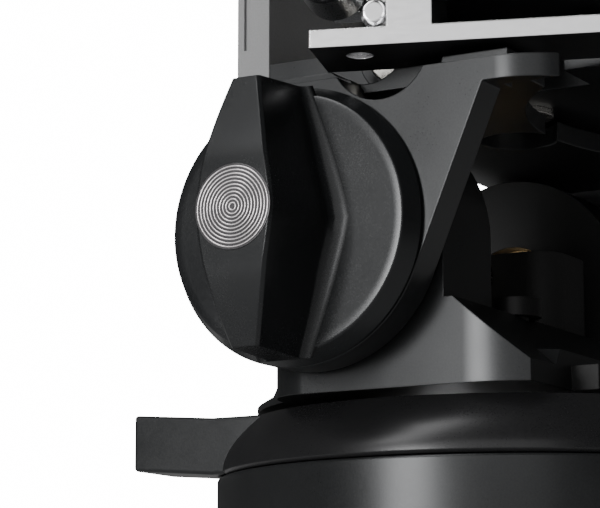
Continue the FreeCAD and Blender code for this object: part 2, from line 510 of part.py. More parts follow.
def make_clamp():
    """Quick-release clamp in its own coordinates (jaw travel along X), turned as one."""
    inner = "clamp_half_width - rail_depth"
    pieces = [box("clamp_core", ("-(%s) - 1" % inner, "-plate_half_length", "plate_floor"),
                  (inner + " + 1", "plate_half_length", "plate_top"))]
    for side, low, high in (("left", "-clamp_half_width", "-(%s)" % inner),
                            ("right", inner, "clamp_half_width")):
        pieces.append(box("rail_" + side, (low, "-clamp_half_length", "rail_floor"),
                          (high, "clamp_half_length", "rail_floor + rail_height")))
        pieces.append(box("web_mid_" + side, (low, "4.4", "rail_floor"), (high, "9.1", "plate_top")))
        pieces.append(box("web_front_" + side, (low, "-clamp_half_length", "rail_floor"),
                          (high, "-clamp_half_length + 3.2", "plate_top")))
        pieces.append(box("side_wall_" + side, (low, "-clamp_half_length", "plate_floor"),
                          (high, "9.1", "plate_top")))
    pieces.append(plate_jaw("fixed_jaw_body", "channel_half_width"))
    pieces.append(box("screw_lug", (inner, "plate_half_length - 0.5", "rail_floor"),
                      ("clamp_half_width", "clamp_half_length", "plate_top")))
    pieces.append(box("button_block", ("-(%s)" % inner, "9", "rail_floor + 2.4"),
                      ("-(%s) + 2.7" % inner, "plate_half_length", "plate_floor + 0.5")))
    tools = [
        rod("clamp_bolt_hole", "bolt_radius", "20", ("0", "0", "70")),
        rod("clamp_bolt_head_room", "7.2", "4", ("0", "0", "plate_top - 2.4")),
        rod("clamp_screw_hole", "screw_radius + fit_gap", "20",
            ("clamp_half_width - 16", "screw_along", "screw_height"), "x"),
        rod("rail_pin_hole", "1.4", "4", ("-clamp_half_width + 4", "12.5", "rail_floor - 1")),
        rod("button_hole", "button_radius + fit_gap", "8",
            ("-(%s) - 2" % inner, "button_along", "button_height"), "x")]
    frame = cut("clamp_frame_cut", joined("clamp_frame_solid", pieces), tools)
    keep(turned_clamp(frame), "clamp_frame")
    lug = box("jaw_lug", ("-(%s) - 0.6" % inner, "plate_half_length + 0.6", "housing_top + 0.4"),
              ("-(%s) + 3.4" % inner, "clamp_half_length", "plate_top + 1"))
    bore = rod("jaw_lug_bore", "screw_radius + fit_gap", "10",
               ("-(%s) - 3" % inner, "screw_along", "screw_height"), "x")
    jaw = plate_jaw("moving_jaw_body", "channel_half_width + jaw_travel", left=True)
    bridge = box("jaw_bridge", ("-(%s) - 3" % inner, "jaw_half_length - 1", "plate_top + 0.05"),
                 ("-(%s) + 3.4" % inner, "clamp_half_length", "plate_top + 2.4"))
    keep(turned_clamp(cut("moving_jaw_cut", joined("moving_jaw_solid", [jaw, bridge, lug]), [bore])),
         "moving_jaw")
    axis = ("0", "screw_along", "screw_height")
    keep(turned_clamp(turned("clamp_knob_body", [
        ("screw_radius", "25"), ("clamp_knob_radius - 0.5", "25"), ("clamp_knob_radius", "25.5"),
        ("clamp_knob_radius", "32.5"), ("clamp_knob_radius - 0.5", "33"), ("screw_radius", "33")],
        axis, "-x"), "screw_along"), "clamp_knob")
    keep(turned_clamp(turned("clamp_screw_body", [
        ("0", "-25"), ("screw_radius", "-25"), ("screw_radius", "32.6"), ("0", "32.6")],
        axis, "-x"), "screw_along"), "clamp_screw")
    keep(turned_clamp(turned("button_body", [
        ("0", "22"), ("button_radius", "22"), ("button_radius", "26"), ("1.5", "26"),
        ("1.5", "31.2"), ("1.1", "31.6"), ("0", "31.6")],
        ("0", "button_along", "button_height"), "-x"), "button_along"), "release_button")
    keep(turned_clamp(turned("bolt_body", [
        ("0", DECK_TOP + " + 0.4"), ("bolt_radius", DECK_TOP + " + 0.4"),
        ("bolt_radius", "plate_top - 2.4"), ("7", "plate_top - 2.4"), ("7", "plate_top - 0.3"),
        ("2.5", "plate_top - 0.3"), ("2.5", "plate_top - 1.8"), ("0", "plate_top - 1.8")])),
        "swivel_bolt")
    pads = [box("seat_pad_" + side, ("-15", low, "plate_top"), ("15", high, "plate_top + 0.8"))
            for side, low, high in (("front", "-plate_half_length + 0.5", "-8.2"),
                                    ("rear", "8.2", "plate_half_length - 0.5"))]
    keep(turned_clamp(joined("seat_pad_set", pads)), "seat_pads")


def plate_jaw(name, inner, left=False):
    """Dovetail jaw along Y: an upright with a lip that leans over the channel."""
    body = doc.addObject("PartDesign::Body", name)
    floor = "plate_top + 0.05" if left else "plate_top - 0.5"
    profile = [(inner, floor), ("clamp_half_width", floor),
               ("clamp_half_width", "plate_top + jaw_height"),
               ("%s - jaw_lip + 1" % inner, "plate_top + jaw_height"),
               ("%s - jaw_lip" % inner, "plate_top + jaw_height - 1"), (inner, "plate_top + 2.4")]
    sketch = outline(body, "XZ_Plane", profile)
    pad = body.newObject("PartDesign::Pad", name + "_pad")
    pad.Profile = sketch
    bind(pad, "Length", "2 * jaw_half_length")
    pad.Midplane = True
    if left:
        body.Placement = FreeCAD.Placement(FreeCAD.Vector(),
                                           FreeCAD.Rotation(FreeCAD.Vector(0, 0, 1), 180))
    return body


def rib_section(name, offset, length, width, end):
    """Lozenge with blunt ends across the knob, at a distance out along -X."""
    section = doc.addObject("Sketcher::SketchObject", name)
    corners = [(end, length), ("-(%s)" % end, length), ("-(%s)" % width, "0.8"),
               ("-(%s)" % width, "-0.8"), ("-(%s)" % end, "-(%s)" % length),
               (end, "-(%s)" % length), (width, "-0.8"), (width, "0.8")]
    places = [FreeCAD.Vector(size(a), size(b), 0) for a, b in corners]
    for index, place in enumerate(places):
        section.addGeometry(Part.LineSegment(place, places[(index + 1) % len(places)]), False)
    turn = FreeCAD.Rotation(FreeCAD.Vector(0, 1, 0), FreeCAD.Vector(0, 0, 1),
                            FreeCAD.Vector(1, 0, 0), "XYZ")
    section.Placement = FreeCAD.Placement(FreeCAD.Vector(), turn)
    for letter, rule in zip("xyz", ("-(%s)" % offset, "tilt_y", "tilt_height")):
        bind(section, "Placement.Base." + letter, rule)
    return section


def make_knob():
    """Tilt drag knob: a shallow disc with a tall lozenge grip, its threaded insert and emblem."""
    back = ARM_OUTER + " + 0.4"
    face = ARM_OUTER + " + 0.4 + knob_thickness"
    top = face + " + rib_height"
    disc = turned("knob_disc", [
        ("0", back), ("knob_radius - 0.2", back), ("knob_radius", back + " + 0.2"),
        ("knob_face_radius", face), ("0", face)], TILT_AT, "-x")
    grip = doc.addObject("Part::Loft", "knob_grip")
    grip.Sections = [
        rib_section("grip_root", face + " - 0.2", "rib_half_length + 0.3", "rib_half_width + 2.35",
                    "rib_end_half + 1.4"),
        rib_section("grip_crest", top, "rib_half_length", "rib_half_width", "rib_end_half")]
    grip.Solid = True
    grip.Ruled = True
    bore = turned("knob_bore", [
        ("0", back + " - 1"), ("5", back + " - 1"), ("5", face + " + 5"), ("0", face + " + 5")],
        TILT_AT, "-x")
    recess = turned("emblem_recess", [
        ("0", top + " - emblem_thickness"), ("emblem_radius + fit_gap", top + " - emblem_thickness"),
        ("emblem_radius + fit_gap", top + " + 1"), ("0", top + " + 1")], TILT_AT, "-x")
    keep(cut("knob_cut", joined("knob_solid", [disc, grip]), [bore, recess]), "tilt_knob")
    keep(ring("insert_body", "stub_radius + fit_gap", "4.95", back, face + " + 4.9", TILT_AT, "-x"),
         "knob_insert")
    keep(turned("emblem_body", [
        ("0", top + " - emblem_thickness"), ("emblem_radius", top + " - emblem_thickness"),
        ("emblem_radius", top + " - 0.05"), ("0", top + " - 0.05")], TILT_AT, "-x"), "knob_emblem")


def check_document():
    """Stop if an object failed or a kept shape is null or not valid."""
    for thing in doc.Objects:
        if "Invalid" in thing.State or "Error" in thing.State:
            raise RuntimeError("failed object: " + thing.Name)
    for part in PARTS:
        if part.Shape.isNull() or not part.Shape.isValid() or not part.Shape.Solids:
            raise RuntimeError("bad shape: " + part.Label)


make_base()
make_pan_lock()
make_azimuth()
make_altitude()
make_housing()
make_clamp()
make_knob()
doc.recompute()
check_document()
os.makedirs("parts", exist_ok=True)
for part in PARTS:
    part.Shape.exportStep("parts/%s.step" % part.Label)
    print(part.Label, len(part.Shape.Solids), round(part.Shape.Volume, 1))
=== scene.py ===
"""Looks of a compact two-axis mount head: finishes, rounded machined parts, knob, light and camera."""

import json
import logging
import math
from dataclasses import dataclass, field
from enum import Enum
from typing import Callable

import bmesh
import bpy
from mathutils import Matrix, Vector


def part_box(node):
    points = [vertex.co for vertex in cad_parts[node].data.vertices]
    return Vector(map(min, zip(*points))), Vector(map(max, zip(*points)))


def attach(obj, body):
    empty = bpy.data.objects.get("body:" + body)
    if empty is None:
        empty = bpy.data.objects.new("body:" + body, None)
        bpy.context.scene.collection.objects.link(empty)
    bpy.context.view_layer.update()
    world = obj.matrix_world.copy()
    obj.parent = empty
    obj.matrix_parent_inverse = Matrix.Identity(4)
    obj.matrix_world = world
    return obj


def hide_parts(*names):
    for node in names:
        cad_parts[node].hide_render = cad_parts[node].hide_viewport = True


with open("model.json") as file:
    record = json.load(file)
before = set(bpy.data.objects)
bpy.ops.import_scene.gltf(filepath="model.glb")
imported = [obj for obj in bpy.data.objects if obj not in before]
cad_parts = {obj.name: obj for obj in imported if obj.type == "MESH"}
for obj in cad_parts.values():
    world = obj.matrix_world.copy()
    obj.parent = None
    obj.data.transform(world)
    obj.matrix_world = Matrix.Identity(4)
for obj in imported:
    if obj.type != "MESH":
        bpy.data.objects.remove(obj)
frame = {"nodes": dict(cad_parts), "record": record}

LOG = logging.getLogger("mount_head")
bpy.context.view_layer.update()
MM = 0.001
GAP_HALF = 18.0 * MM
MERGE = 2e-6
FLAT_ANGLE = math.radians(1.2)
SHARP_ANGLE = 38.0
MOTTLE_SCALE = 90.0
FINE_SHARE = 0.45
MOTTLE_LOW = 0.3
MOTTLE_HIGH = 0.7
BUMP_STRENGTH = 0.35
MOTTLE_DETAIL = 4.0
COAT_ROUGHNESS = 0.12
BRUSH_STRETCH = 0.04
RING_WANDER = 0.6
EDGE_SAMPLES = 6
FLAT_WEIGHT = 80
PICK_MARGIN = 0.1 * MM
POINT_MERGE = 1e-6
LOOKS_DOWN = 0.25
LOOKS_ASIDE = 0.7
UPRIGHT = 0.9


class Slot(Enum):
    """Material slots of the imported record."""

    BLACK = "black_anodised"
    GLOSS = "gloss_black"
    BRIGHT = "bright_alloy"
    STEEL = "steel"
    BRONZE = "bronze"
    FRICTION = "friction"
    DRUM = "drum_alloy"
    PAD = "pad_rubber"
    EMBLEM = "emblem"


class Grain(Enum):
    """Kinds of fine surface pattern."""

    BLAST = "blast"
    TURNED = "turned"
    BRUSHED = "brushed"
    FIBRE = "fibre"


@dataclass(frozen=True)
class Finish:
    """One surface finish: colour, shine and fine pattern.

    Args:
        slot: Record slot that the finish belongs to.
        dark: Darker colour of the mottle, linear RGB.
        light: Lighter colour of the mottle, linear RGB.
        metallic: Metal share of the shader.
        rough_low: Roughness where the surface is smoothest.
        rough_high: Roughness where it is dullest.
        grain: Kind of fine pattern.
        grain_scale: Pattern cells per metre.
        bump: Depth of the pattern, in metres.
        edge: Radius of the softened edges, in metres.
        coat: Weight of a clear coat.
    """

    slot: Slot
    dark: tuple[float, float, float]
    light: tuple[float, float, float]
    metallic: float
    rough_low: float
    rough_high: float
    grain: Grain = Grain.BLAST
    grain_scale: float = 5200.0
    bump: float = 0.000004
    edge: float = 0.00018
    coat: float = 0.0

    def material(self, centre: Vector | None = None) -> bpy.types.Material:
        """Build the node material.

        Args:
            centre: Axis point for turned patterns, in metres.

        Returns:
            The finished material.
        """
        made = bpy.data.materials.new(self.slot.value)
        made.use_nodes = True
        tree = made.node_tree
        shader = tree.nodes["Principled BSDF"]
        shader.inputs["Metallic"].default_value = self.metallic
        shader.inputs["Coat Weight"].default_value = self.coat
        shader.inputs["Coat Roughness"].default_value = COAT_ROUGHNESS
        place = tree.nodes.new("ShaderNodeTexCoord")
        shift = tree.nodes.new("ShaderNodeMapping")
        if centre is not None:
            shift.inputs["Location"].default_value = -centre
        if self.grain is Grain.BRUSHED:
            shift.inputs["Scale"].default_value = (1.0, BRUSH_STRETCH, 1.0)
        tree.links.new(place.outputs["Object"], shift.inputs["Vector"])
        cells = self._cells(tree, shift)
        broad = tree.nodes.new("ShaderNodeTexNoise")
        broad.inputs["Scale"].default_value = MOTTLE_SCALE
        broad.inputs["Detail"].default_value = MOTTLE_DETAIL
        tree.links.new(shift.outputs["Vector"], broad.inputs["Vector"])
        blend = tree.nodes.new("ShaderNodeMath")
        blend.operation = "MULTIPLY_ADD"
        blend.inputs[1].default_value = FINE_SHARE
        tree.links.new(cells, blend.inputs[0])
        half = tree.nodes.new("ShaderNodeMath")
        half.operation = "MULTIPLY"
        half.inputs[1].default_value = 1.0 - FINE_SHARE
        tree.links.new(broad.outputs["Fac"], half.inputs[0])
        tree.links.new(half.outputs[0], blend.inputs[2])
        colour = tree.nodes.new("ShaderNodeValToRGB")
        colour.color_ramp.elements[0].position = MOTTLE_LOW
        colour.color_ramp.elements[0].color = (*self.dark, 1.0)
        colour.color_ramp.elements[1].position = MOTTLE_HIGH
        colour.color_ramp.elements[1].color = (*self.light, 1.0)
        tree.links.new(blend.outputs[0], colour.inputs["Fac"])
        tree.links.new(colour.outputs["Color"], shader.inputs["Base Color"])
        dull = tree.nodes.new("ShaderNodeMapRange")
        dull.inputs["From Min"].default_value = MOTTLE_LOW
        dull.inputs["From Max"].default_value = MOTTLE_HIGH
        dull.inputs["To Min"].default_value = self.rough_low
        dull.inputs["To Max"].default_value = self.rough_high
        tree.links.new(blend.outputs[0], dull.inputs["Value"])
        tree.links.new(dull.outputs["Result"], shader.inputs["Roughness"])
        bump = tree.nodes.new("ShaderNodeBump")
        bump.inputs["Strength"].default_value = BUMP_STRENGTH
        bump.inputs["Distance"].default_value = self.bump
        tree.links.new(cells, bump.inputs["Height"])
        if self.edge > 0.0:
            soft = tree.nodes.new("ShaderNodeBevel")
            soft.samples = EDGE_SAMPLES
            soft.inputs["Radius"].default_value = self.edge
            tree.links.new(soft.outputs["Normal"], bump.inputs["Normal"])
        tree.links.new(bump.outputs["Normal"], shader.inputs["Normal"])
        return made

    def _cells(self, tree: bpy.types.NodeTree, shift: bpy.types.Node) -> bpy.types.NodeSocket:
        """Fine pattern of the finish.

        Args:
            tree: Node tree of the material.
            shift: Mapping node that gives the coordinates.

        Returns:
            The socket that carries the pattern's height.
        """
        if self.grain is Grain.TURNED:
            rings = tree.nodes.new("ShaderNodeTexWave")
            rings.wave_type = "RINGS"
            rings.rings_direction = "Z"
            rings.inputs["Scale"].default_value = self.grain_scale
            rings.inputs["Distortion"].default_value = RING_WANDER
            tree.links.new(shift.outputs["Vector"], rings.inputs["Vector"])
            return rings.outputs["Fac"]
        noise = tree.nodes.new("ShaderNodeTexNoise")
        noise.inputs["Scale"].default_value = self.grain_scale
        noise.inputs["Detail"].default_value = 2.0
        tree.links.new(shift.outputs["Vector"], noise.inputs["Vector"])
        return noise.outputs["Fac"]


ANODISED = Finish(Slot.BLACK, (0.020, 0.021, 0.022), (0.033, 0.034, 0.035), 0.5, 0.27, 0.35)
GLOSSY = Finish(Slot.GLOSS, (0.016, 0.016, 0.017), (0.026, 0.026, 0.027), 0.4, 0.26, 0.34,
                bump=0.000001)
KNOB_BLACK = Finish(Slot.GLOSS, (0.012, 0.013, 0.014), (0.020, 0.021, 0.022), 0.35, 0.22, 0.29,
                    bump=0.000002)
SILVER = Finish(Slot.BRIGHT, (0.82, 0.82, 0.83), (0.90, 0.90, 0.91), 1.0, 0.16, 0.26,
                grain=Grain.BRUSHED, grain_scale=2600.0, bump=0.000002, edge=0.00025)
STEEL = Finish(Slot.STEEL, (0.60, 0.58, 0.54), (0.72, 0.70, 0.66), 1.0, 0.22, 0.32,
               grain_scale=3000.0, bump=0.000002, edge=0.00012)
BRONZE = Finish(Slot.BRONZE, (0.30, 0.20, 0.09), (0.40, 0.28, 0.14), 1.0, 0.28, 0.40, edge=0.0001)
# Friction lining colour, darkened further as painted shade for the drag cartridge in the gap between
# the towers.
LINING_AND_GAP_SHADE = Finish(Slot.FRICTION, (0.006, 0.006, 0.006), (0.011, 0.011, 0.011), 0.0, 0.55, 0.75,
                grain=Grain.FIBRE, grain_scale=3500.0, bump=0.00001, edge=0.0001)
# Near-black painted shade on the steel nut, washer, spindle and drum screws in the gap between the
# towers.
GAP_STEEL_PAINTED_SHADE = Finish(Slot.STEEL, (0.012, 0.012, 0.013), (0.022, 0.021, 0.021), 0.5, 0.35, 0.5, edge=0.0001)
# Near-black painted shade for the pedestal faces that line the gap between the towers.
GAP_PAINTED_SHADE = Finish(Slot.BLACK, (0.004, 0.004, 0.004), (0.008, 0.008, 0.008), 0.0, 0.6, 0.75)
# Black anodised bracket painted mid grey: painted light standing in for the light its face catches.
BRACKET_PAINTED_LIGHT = Finish(Slot.BLACK, (0.20, 0.201, 0.203), (0.26, 0.261, 0.263), 0.0, 0.55, 0.65)
DRUM = Finish(Slot.DRUM, (0.42, 0.42, 0.43), (0.55, 0.55, 0.56), 1.0, 0.25, 0.35,
              grain=Grain.TURNED, grain_scale=900.0, bump=0.000003, edge=0.0001)
# Near-black painted shade for the downward faces of the silver clamp frame.
UNDERSIDE_PAINTED_SHADE = Finish(Slot.BRIGHT, (0.008, 0.008, 0.009), (0.014, 0.014, 0.015), 0.2, 0.4, 0.5)
RUBBER = Finish(Slot.PAD, (0.018, 0.018, 0.018), (0.035, 0.035, 0.035), 0.0, 0.6, 0.8,
                grain_scale=4000.0, bump=0.00002, edge=0.0002)
DISC_DARK = Finish(Slot.EMBLEM, (0.05, 0.048, 0.050), (0.08, 0.078, 0.080), 0.8, 0.25, 0.35,
                   grain_scale=6000.0, bump=0.000001, edge=0.0)
DISC_LIGHT = Finish(Slot.EMBLEM, (0.60, 0.56, 0.57), (0.74, 0.70, 0.71), 1.0, 0.25, 0.35,
                    grain_scale=6000.0, bump=0.000001, edge=0.0)

NODE_FINISH: dict[str, Finish] = {
    "black_anodised": ANODISED, "gloss_black": GLOSSY, "bright_alloy": SILVER, "steel": STEEL,
    "bronze": BRONZE, "friction": LINING_AND_GAP_SHADE, "drum_alloy": DRUM, "pad_rubber": RUBBER,
    "emblem": DISC_DARK}


class Shop:
    """Bench tools shared by the sub-assemblies."""

    @staticmethod
    def clear() -> None:
        """Deselect everything, so that an operator acts on one piece only."""
        if bpy.context.object is not None and bpy.context.object.mode != "OBJECT":
            bpy.ops.object.mode_set(mode="OBJECT")
        bpy.ops.object.select_all(action="DESELECT")

    @staticmethod
    def pick(piece: bpy.types.Object) -> None:
        """Select one piece and make it active.

        Args:
            piece: Piece to select.
        """
        Shop.clear()
        piece.select_set(True)
        bpy.context.view_layer.objects.active = piece

    @staticmethod
    def settle(piece: bpy.types.Object) -> None:
        """Apply the piece's place, turn and scale to its mesh.

        Args:
            piece: Piece to settle.
        """
        Shop.pick(piece)
        bpy.ops.object.transform_apply(location=True, rotation=True, scale=True)

    @staticmethod
    def select(piece: bpy.types.Object, test: Callable[[Vector], bool]) -> None:
        """Select the vertices that pass a test, in vertex mode.

        Args:
            piece: Piece in edit mode.
            test: Answers True for a vertex place that is wanted.
        """
        mesh = bmesh.from_edit_mesh(piece.data)
        for vertex in mesh.verts:
            vertex.select = test(vertex.co)
        mesh.select_flush_mode()
        mesh.select_flush(True)
        bmesh.update_edit_mesh(piece.data)

    @staticmethod
    def smooth(piece: bpy.types.Object, angle: float = 32.0) -> None:
        """Shade a piece smooth, with its flat faces kept flat beside the bevels.

        Args:
            piece: Piece to shade.
            angle: Edges sharper than this many degrees stay hard.
        """
        Shop.pick(piece)
        bpy.ops.object.shade_smooth_by_angle(angle=math.radians(angle))
        Shop.modify(piece, "WEIGHTED_NORMAL", weight=FLAT_WEIGHT, keep_sharp=True)

    @staticmethod
    def modify(piece: bpy.types.Object, kind: str, **settings: object) -> None:
        """Add a modifier and apply it.

        Args:
            piece: Piece to change.
            kind: Blender's name for the modifier.
            settings: Values set on the modifier.
        """
        Shop.pick(piece)
        tool = piece.modifiers.new(kind.lower(), kind)
        for name, value in settings.items():
            setattr(tool, name, value)
        bpy.ops.object.modifier_apply(modifier=tool.name)

    @staticmethod
    def dress(piece: bpy.types.Object, *finishes: Finish, centre: Vector | None = None) -> None:
        """Give a piece its materials.

        Args:
            piece: Piece to dress.
            finishes: Its surfaces, the main one first.
            centre: Axis point for turned patterns, in metres.
        """
        piece.data.materials.clear()
        for finish in finishes:
            piece.data.materials.append(finish.material(centre))

    @staticmethod
    def outward(piece: bpy.types.Object) -> None:
        """Merge doubled points and turn every face outwards.

        Args:
            piece: Piece to mend.
        """
        Shop.pick(piece)
        bpy.ops.object.mode_set(mode="EDIT")
        bpy.ops.mesh.select_all(action="SELECT")
        bpy.ops.mesh.remove_doubles(threshold=POINT_MERGE)
        bpy.ops.mesh.normals_make_consistent(inside=False)
        bpy.ops.object.mode_set(mode="OBJECT")


def looks_down(middle: Vector, normal: Vector) -> bool:
    """Tell whether a face looks down; on a part with a second finish these faces take painted shade.

    Args:
        middle: Middle of the face.
        normal: Its outward direction.

    Returns:
        True where it does.
    """
    return normal.z < -LOOKS_DOWN


def takes_painted_gap_shade(middle: Vector, normal: Vector) -> bool:
    """Tell whether a face lines the gap between the towers, where the pedestal takes painted shade.

    Args:
        middle: Middle of the face.
        normal: Its outward direction.

    Returns:
        True where it does.
    """
    return abs(middle.x) < GAP_HALF and abs(normal.x) > LOOKS_ASIDE


@dataclass
class Machined:
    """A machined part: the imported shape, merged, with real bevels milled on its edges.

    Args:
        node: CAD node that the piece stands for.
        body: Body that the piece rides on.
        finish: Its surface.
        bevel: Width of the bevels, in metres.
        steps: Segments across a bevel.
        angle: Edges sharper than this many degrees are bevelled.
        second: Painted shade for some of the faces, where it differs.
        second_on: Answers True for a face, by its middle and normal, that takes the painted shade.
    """

    node: str
    body: str
    finish: Finish
    bevel: float = 0.3 * MM
    steps: int = 3
    angle: float = 40.0
    second: Finish | None = None
    second_on: Callable[[Vector, Vector], bool] = looks_down

    def build(self) -> bpy.types.Object:
        """Copy, merge, bevel and dress the part.

        Returns:
            The finished piece.
        """
        source = frame["nodes"][self.node]
        mesh = source.data.copy()
        piece = bpy.data.objects.new(self.node + "_milled", mesh)
        bpy.context.scene.collection.objects.link(piece)
        piece.matrix_world = Matrix.Identity(4)
        Shop.pick(piece)
        if mesh.has_custom_normals:
            bpy.ops.mesh.customdata_custom_splitnormals_clear()
        bpy.ops.object.mode_set(mode="EDIT")
        bpy.ops.mesh.select_all(action="SELECT")
        bpy.ops.mesh.remove_doubles(threshold=MERGE)
        bpy.ops.mesh.dissolve_limited(angle_limit=FLAT_ANGLE)
        bpy.ops.object.mode_set(mode="OBJECT")
        Shop.modify(piece, "BEVEL", width=self.bevel, segments=self.steps, limit_method="ANGLE",
                    angle_limit=math.radians(self.angle), use_clamp_overlap=True,
                    miter_outer="MITER_ARC")
        Shop.smooth(piece, SHARP_ANGLE)
        if self.second is None:
            Shop.dress(piece, self.finish)
        else:
            Shop.dress(piece, self.finish, self.second)
            for face in piece.data.polygons:
                face.material_index = int(self.second_on(face.center, face.normal))
        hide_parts(self.node)
        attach(piece, self.body)
        LOG.info("milled %s: %d faces", self.node, len(piece.data.polygons))
        return piece


@dataclass
class LockRing:
    """Tapered pan lock ring with its lever.

    Args:
        body: Body that it rides on.
        steps: Facets round the ring.
        bulge: How far the flank swells past a straight taper, in metres.
    """

    body: str = "pan_lock"
    steps: int = 160
    bulge: float = 0.33 * MM
    bore: float = 24.05 * MM
    taper: float = 3.2 * MM
    foot_break: float = 0.35 * MM
    top_break: float = 0.3 * MM
    flank_steps: int = 10
    flank_power: float = 1.35
    lever_corner: float = 2.6 * MM
    lever_break: float = 0.45 * MM
    lever_root: float = 3.5 * MM
    lever_sunk: float = 4.0 * MM
    lever_face: float = 21.8 * MM
    lever_width: float = 8.0 * MM
    lever_bend: float = 25.0 * MM
    lever_rise: float = 0.8 * MM

    def build(self) -> None:
        """Make the ring by spinning its section, add the lever, and dress both."""
        low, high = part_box("pan_lock_ring")
        outer = high[0]
        floor = low[2]
        top = high[2] - self.lever_rise
        self._ring(outer, floor, top)
        self._lever(high[1], floor, top)

    def _ring(self, outer: float, floor: float, top: float) -> None:
        """Spin the section of the ring.

        Args:
            outer: Radius at the foot.
            floor: Height of the foot.
            top: Height of the top.
        """
        shoulder = outer - self.taper
        broken = self.foot_break
        section = [(self.bore, floor), (outer - broken, floor), (outer, floor + broken)]
        for step in range(1, self.flank_steps + 1):
            share = step / self.flank_steps
            swell = self.bulge * math.sin(math.pi * share)
            section.append((outer - self.taper * share ** self.flank_power + swell,
                            floor + broken + (top - floor - broken - self.top_break) * share))
        section += [(shoulder - self.top_break, top), (self.bore, top)]
        Shop.clear()
        bpy.ops.mesh.primitive_plane_add(size=MM, location=(0.0, 0.0, 0.0))
        piece = bpy.context.object
        piece.name = "lock_ring_band"
        bpy.ops.object.mode_set(mode="EDIT")
        bpy.ops.mesh.select_all(action="SELECT")
        bpy.ops.mesh.delete(type="VERT")
        mesh = bmesh.from_edit_mesh(piece.data)
        corners = [mesh.verts.new((min(radius, outer), 0.0, height)) for radius, height in section]
        for index, corner in enumerate(corners):
            mesh.edges.new((corner, corners[(index + 1) % len(corners)]))
        bmesh.update_edit_mesh(piece.data)
        bpy.ops.mesh.select_all(action="SELECT")
        bpy.ops.mesh.spin(steps=self.steps, angle=2.0 * math.pi, center=(0.0, 0.0, 0.0),
                          axis=(0.0, 0.0, 1.0), use_auto_merge=True)
        bpy.ops.object.mode_set(mode="OBJECT")
        Shop.outward(piece)
        Shop.smooth(piece, 30.0)
        Shop.dress(piece, GLOSSY)
        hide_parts("pan_lock_ring")
        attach(piece, self.body)
        LOG.info("lock ring: %d faces", len(piece.data.polygons))

    def _lever(self, reach: float, floor: float, top: float) -> None:
        """Extrude the lever out of the ring's flank and round its end.

        Args:
            reach: How far out the lever's end is.
            floor: Height of the lever's foot at the ring.
            top: Height of its top at the ring.
        """
        start = self.lever_bend - self.lever_root
        middle_x = -self.lever_face + self.lever_width / 2
        Shop.clear()
        bpy.ops.mesh.primitive_cube_add(size=1.0, location=(middle_x, start - self.lever_sunk / 2,
                                                            (floor + top) / 2))
        piece = bpy.context.object
        piece.name = "lock_ring_lever"
        piece.scale = (self.lever_width, self.lever_sunk, top - floor)
        Shop.settle(piece)
        bpy.ops.object.mode_set(mode="EDIT")
        bpy.ops.mesh.select_mode(type="VERT")
        Shop.select(piece, lambda at: at.y > start - PICK_MARGIN)
        bpy.ops.mesh.extrude_region_move(
            TRANSFORM_OT_translate={"value": (0.0, self.lever_bend - start, 0.0)})
        bpy.ops.mesh.extrude_region_move(
            TRANSFORM_OT_translate={"value": (0.0, reach - self.lever_bend, self.lever_rise)})
        bpy.ops.object.mode_set(mode="OBJECT")
        Shop.outward(piece)
        bpy.ops.object.mode_set(mode="EDIT")
        mesh = bmesh.from_edit_mesh(piece.data)
        for edge in mesh.edges:
            span = edge.verts[0].co - edge.verts[1].co
            upright = abs(span.z) > UPRIGHT * span.length
            edge.select = upright and edge.verts[0].co.y > reach - PICK_MARGIN
        bmesh.update_edit_mesh(piece.data)
        bpy.ops.mesh.bevel(offset=self.lever_corner, segments=8, affect="EDGES")
        bpy.ops.object.mode_set(mode="OBJECT")
        Shop.modify(piece, "BEVEL", width=self.lever_break, segments=4, limit_method="ANGLE",
                    angle_limit=math.radians(50.0))
        Shop.smooth(piece, 35.0)
        Shop.dress(piece, ANODISED)
        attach(piece, self.body)
        LOG.info("lock lever: %d faces", len(piece.data.polygons))


